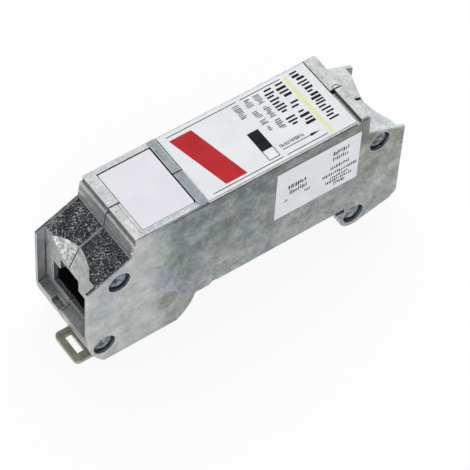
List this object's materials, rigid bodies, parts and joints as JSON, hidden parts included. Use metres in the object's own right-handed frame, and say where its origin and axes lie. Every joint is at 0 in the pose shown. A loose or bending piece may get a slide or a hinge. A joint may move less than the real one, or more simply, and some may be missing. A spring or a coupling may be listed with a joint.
{
  "type": "ethernet surge protector",
  "caption": "Slim rail-mounted surge protector for a data line, with a riveted zinc housing, a socket at each end and a sprung rail latch.",
  "frame": {"origin": "centre of the seat that lies on the mounting rail, on the middle plane between the two castings", "axes": "+X along the length towards the protected side, away from the latch loop; +Z away from the rail, towards the label; +Y completes the frame"},
  "size_m": [0.0814, 0.0195, 0.0361],
  "materials": {
    "zinc_casting": "satin, cloudy bare die cast",
    "rivet_steel": "bright zinc plated",
    "strap_steel": "olive passivated",
    "spring_steel": "drawn wire",
    "plate_plastic": "smooth satin",
    "label_film": "silver-white printed film",
    "board_laminate": "solder mask",
    "sheet_film": "insulating film",
    "jack_plastic": "moulded black",
    "jack_skin": "tin plated sheet",
    "contact_gold": "gold plated wire",
    "tube_ceramic": "glazed ceramic with metal caps",
    "array_epoxy": "moulded epoxy",
    "leaf_bronze": "bronze strip"
  },
  "bodies": {
    "body": {"housing_right": "zinc_casting", "housing_left": "zinc_casting", "rivet_front_upper": "rivet_steel", "rivet_front_lower": "rivet_steel", "rivet_rear_upper": "rivet_steel", "rivet_rear_lower": "rivet_steel", "marking_plate": "plate_plastic", "top_label": "label_film", "side_label": "label_film", "latch_spring": "spring_steel", "insulating_sheet": "sheet_film", "circuit_board": "board_laminate", "input_jack_shield": "jack_skin", "input_jack_body": "jack_plastic", "input_jack_contacts": "contact_gold", "output_jack_shield": "jack_skin", "output_jack_body": "jack_plastic", "output_jack_contacts": "contact_gold", "gas_tube_1": "tube_ceramic", "gas_tube_2": "tube_ceramic", "gas_tube_3": "tube_ceramic", "gas_tube_4": "tube_ceramic", "diode_array_1": "array_epoxy", "diode_array_2": "array_epoxy", "diode_array_3": "array_epoxy", "diode_array_4": "array_epoxy", "earth_spring": "leaf_bronze"},
    "latch": {"rail_latch": "strap_steel"}
  },
  "joints": [
    {"name": "latch_slide", "type": "slide", "parent": "body", "child": "latch", "axis": [-1, 0, 0], "range_m": [0, 0.003], "stiffness_N_per_m": 500, "springref_m": -0.003, "deforming": ["latch_spring"]}
  ]
}
